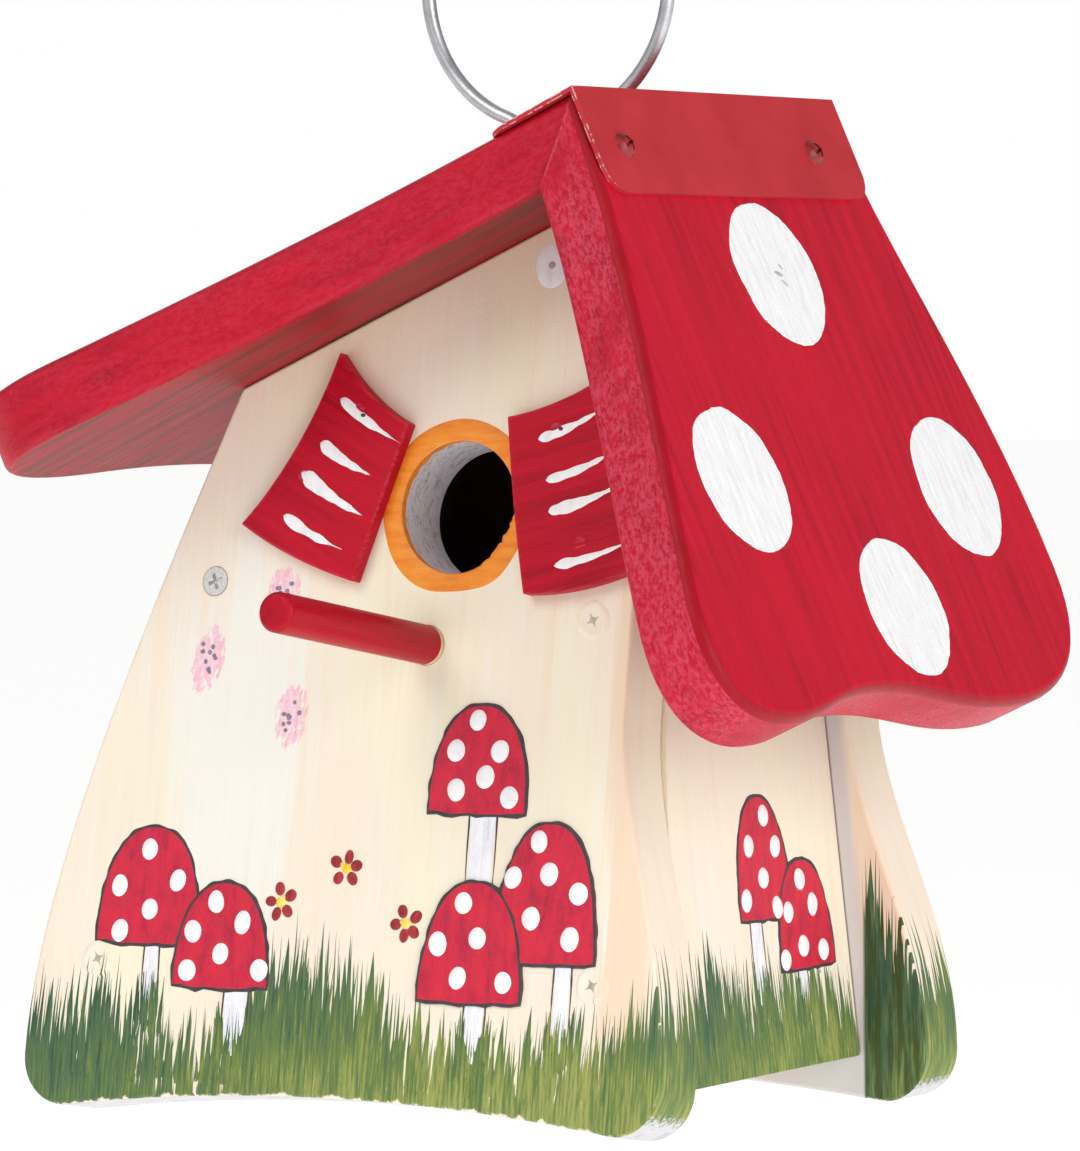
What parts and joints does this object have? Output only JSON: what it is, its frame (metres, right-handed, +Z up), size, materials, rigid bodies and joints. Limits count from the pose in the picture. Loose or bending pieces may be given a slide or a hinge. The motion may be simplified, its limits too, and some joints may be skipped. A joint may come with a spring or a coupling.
{
  "type": "birdhouse",
  "caption": "Hanging timber birdhouse with a bell-shaped leaning front, round entrance, dowel perch, tilted shutters, crooked mitred roof under a sheet ridge cap, and a wire loop hanger.",
  "frame": {"origin": "on the ground plane under the lowest edges, X = 0 at the middle of the bell-shaped foot, Y = 0 in the plane of the hanger loop", "axes": "+Z up, the entrance faces -Y, +X to the right when facing the entrance"},
  "size_m": [0.2354, 0.1932, 0.3075],
  "materials": {
    "cream_painted_wood": "brushed cream paint on softwood",
    "crimson_painted_wood": "semi-matt crimson paint on softwood",
    "bare_softwood": "bare planed softwood",
    "painted_sheet": "matt crimson paint on thin sheet steel",
    "zinc_steel": "zinc plated",
    "painted_steel": "matt crimson paint over pan heads",
    "hanger_aluminium": "dull drawn wire"
  },
  "bodies": {
    "house": {"front_panel": "cream_painted_wood", "back_panel": "cream_painted_wood", "wall_left": "cream_painted_wood", "wall_right": "cream_painted_wood", "floor_board": "bare_softwood", "hanger_block": "bare_softwood", "roof_board_left": "crimson_painted_wood", "roof_board_right": "crimson_painted_wood", "ridge_cap": "painted_sheet", "ridge_cap_screws": "painted_steel", "front_screws": "zinc_steel", "back_screws": "zinc_steel", "roof_screws": "zinc_steel", "floor_nails": "zinc_steel", "perch": "crimson_painted_wood", "shutter_left": "crimson_painted_wood", "shutter_right": "crimson_painted_wood", "shutter_brads": "zinc_steel"},
    "hanger": {"hanger_wire": "hanger_aluminium"}
  },
  "joints": [
    {"name": "hanger_rock", "type": "hinge", "parent": "house", "child": "hanger", "pos_m": [0.025, 0, 0.2038], "axis": [1, 0, 0], "range_deg": [-3, 3]}
  ]
}
